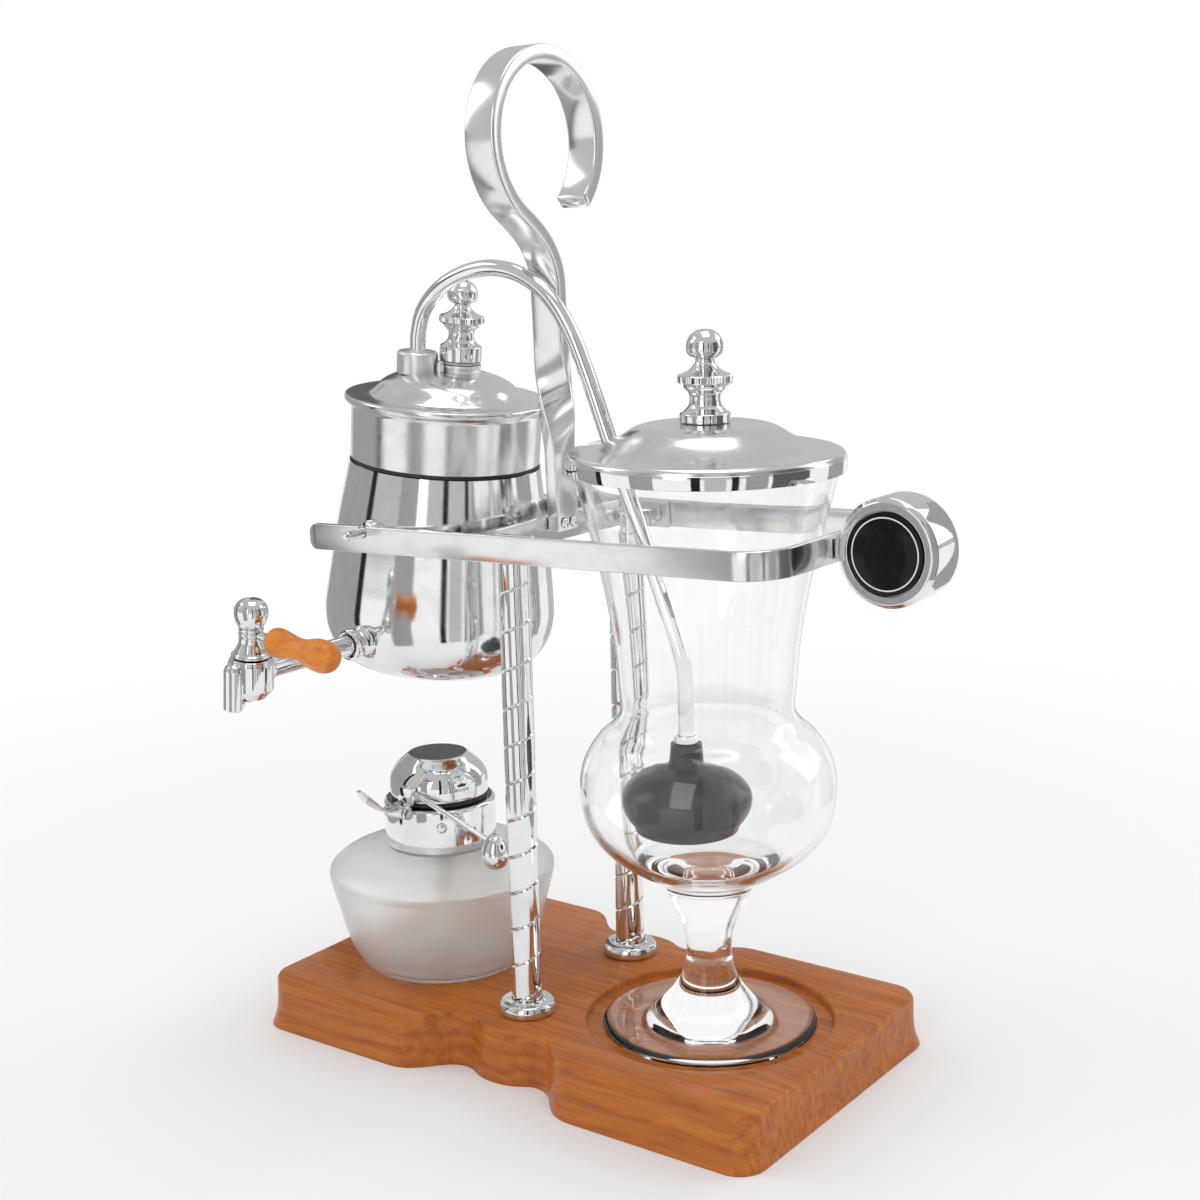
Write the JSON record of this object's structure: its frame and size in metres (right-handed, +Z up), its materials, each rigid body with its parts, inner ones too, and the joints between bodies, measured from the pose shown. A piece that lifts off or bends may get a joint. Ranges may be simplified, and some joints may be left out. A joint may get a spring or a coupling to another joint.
{
  "type": "siphon coffee maker",
  "caption": "Balancing siphon coffee maker: tilting beam with lidded boiler, tap and counterweight over a wooden board, siphon tube, lidded glass goblet and spirit burner",
  "frame": {"origin": "middle of the board's underside, on the surface the coffee maker stands on", "axes": "+X runs from the boiler to the counterweight, +Y away from the tap, +Z up"},
  "size_m": [0.2825, 0.19, 0.3979],
  "materials": {
    "wood": "satin",
    "grip_wood": "satin",
    "chrome": "polished",
    "steel": "satin",
    "clear_glass": "clear",
    "frosted_glass": "frosted",
    "black_gloss": "glossy",
    "rubber": "matte",
    "filter_black": "glossy",
    "cotton": "matte"
  },
  "bodies": {
    "root": {"base_board": "wood", "column_front": "chrome", "column_back": "chrome", "column_collar_front": "chrome", "column_collar_back": "chrome", "column_bolt_front": "steel", "column_bolt_back": "steel", "column_washer_front": "steel", "column_washer_back": "steel"},
    "beam": {"beam_frame": "chrome", "yoke_bar": "chrome", "pivot_pin_front": "steel", "pivot_pin_back": "steel", "yoke_rivet_front": "steel", "yoke_rivet_back": "steel", "strap_rivet_front": "steel", "strap_rivet_back": "steel", "handle_strap": "chrome", "counterweight_lug": "chrome", "counterweight_drum": "chrome", "counterweight_screw": "steel", "counterweight_disc": "black_gloss", "counterweight_cap": "chrome"},
    "boiler": {"boiler_body": "chrome", "boiler_seal": "rubber", "boiler_lid": "chrome", "trunnion_front": "chrome", "trunnion_back": "chrome", "filler_neck": "chrome", "tube_stopper": "rubber", "stopper_cap": "chrome", "relief_pin": "steel", "pipe_nut": "chrome", "tap_pipe": "chrome", "tap_body": "chrome", "siphon_tube": "chrome", "filter_head": "filter_black", "filter_screen": "steel", "filter_ferrule": "chrome"},
    "tap_key": {"tap_key": "chrome", "tap_lever": "chrome", "tap_grip": "grip_wood"},
    "filler_plug": {"filler_cap": "chrome", "filler_washer": "rubber"},
    "goblet": {"goblet": "clear_glass"},
    "goblet_lid": {"glass_lid": "chrome", "lid_knob": "chrome", "lid_nut": "steel"},
    "burner": {"burner_bottle": "frosted_glass", "burner_collar": "chrome", "wick_tube": "chrome", "wick": "cotton", "hinge_bracket": "chrome", "hinge_pin": "steel"},
    "snuffer": {"snuffer_dome": "chrome", "snuffer_seal": "rubber", "finger_tab": "chrome", "lever_rod": "steel", "lever_weight": "chrome"}
  },
  "joints": [
    {"name": "beam_tilt", "type": "hinge", "parent": "root", "child": "beam", "pos_m": [-0.0043, 0, 0.2115], "axis": [0, 1, 0], "range_deg": [-1.5, 7]},
    {"name": "boiler_swing", "type": "hinge", "parent": "beam", "child": "boiler", "pos_m": [-0.06966, 0, 0.21439], "axis": [0, 1, 0], "range_deg": [-7, 1.5]},
    {"name": "tap_turn", "type": "hinge", "parent": "boiler", "child": "tap_key", "pos_m": [-0.07644, -0.10697, 0.16934], "axis": [0.0958, 0, 0.9954], "range_deg": [-90, 0]},
    {"name": "filler_cap_lift", "type": "slide", "parent": "boiler", "child": "filler_plug", "axis": [0.0958, 0, 0.9954], "range_m": [0, 0.012]},
    {"name": "goblet_lift", "type": "slide", "parent": "root", "child": "goblet", "axis": [0, 0, 1], "range_m": [0, 0.012]},
    {"name": "goblet_lid_lift", "type": "slide", "parent": "goblet", "child": "goblet_lid", "axis": [0, 0, 1], "range_m": [0, 0.05]},
    {"name": "burner_slide", "type": "slide", "parent": "root", "child": "burner", "axis": [-1, 0, 0], "range_m": [0, 0.06]},
    {"name": "snuffer_hinge", "type": "hinge", "parent": "burner", "child": "snuffer", "pos_m": [-0.069, -0.0374, 0.0953], "axis": [1, 0, 0], "range_deg": [0, 78]}
  ],
  "couplings": [
    {"joint": "boiler_swing", "follows": "beam_tilt", "ratio": -1}
  ]
}
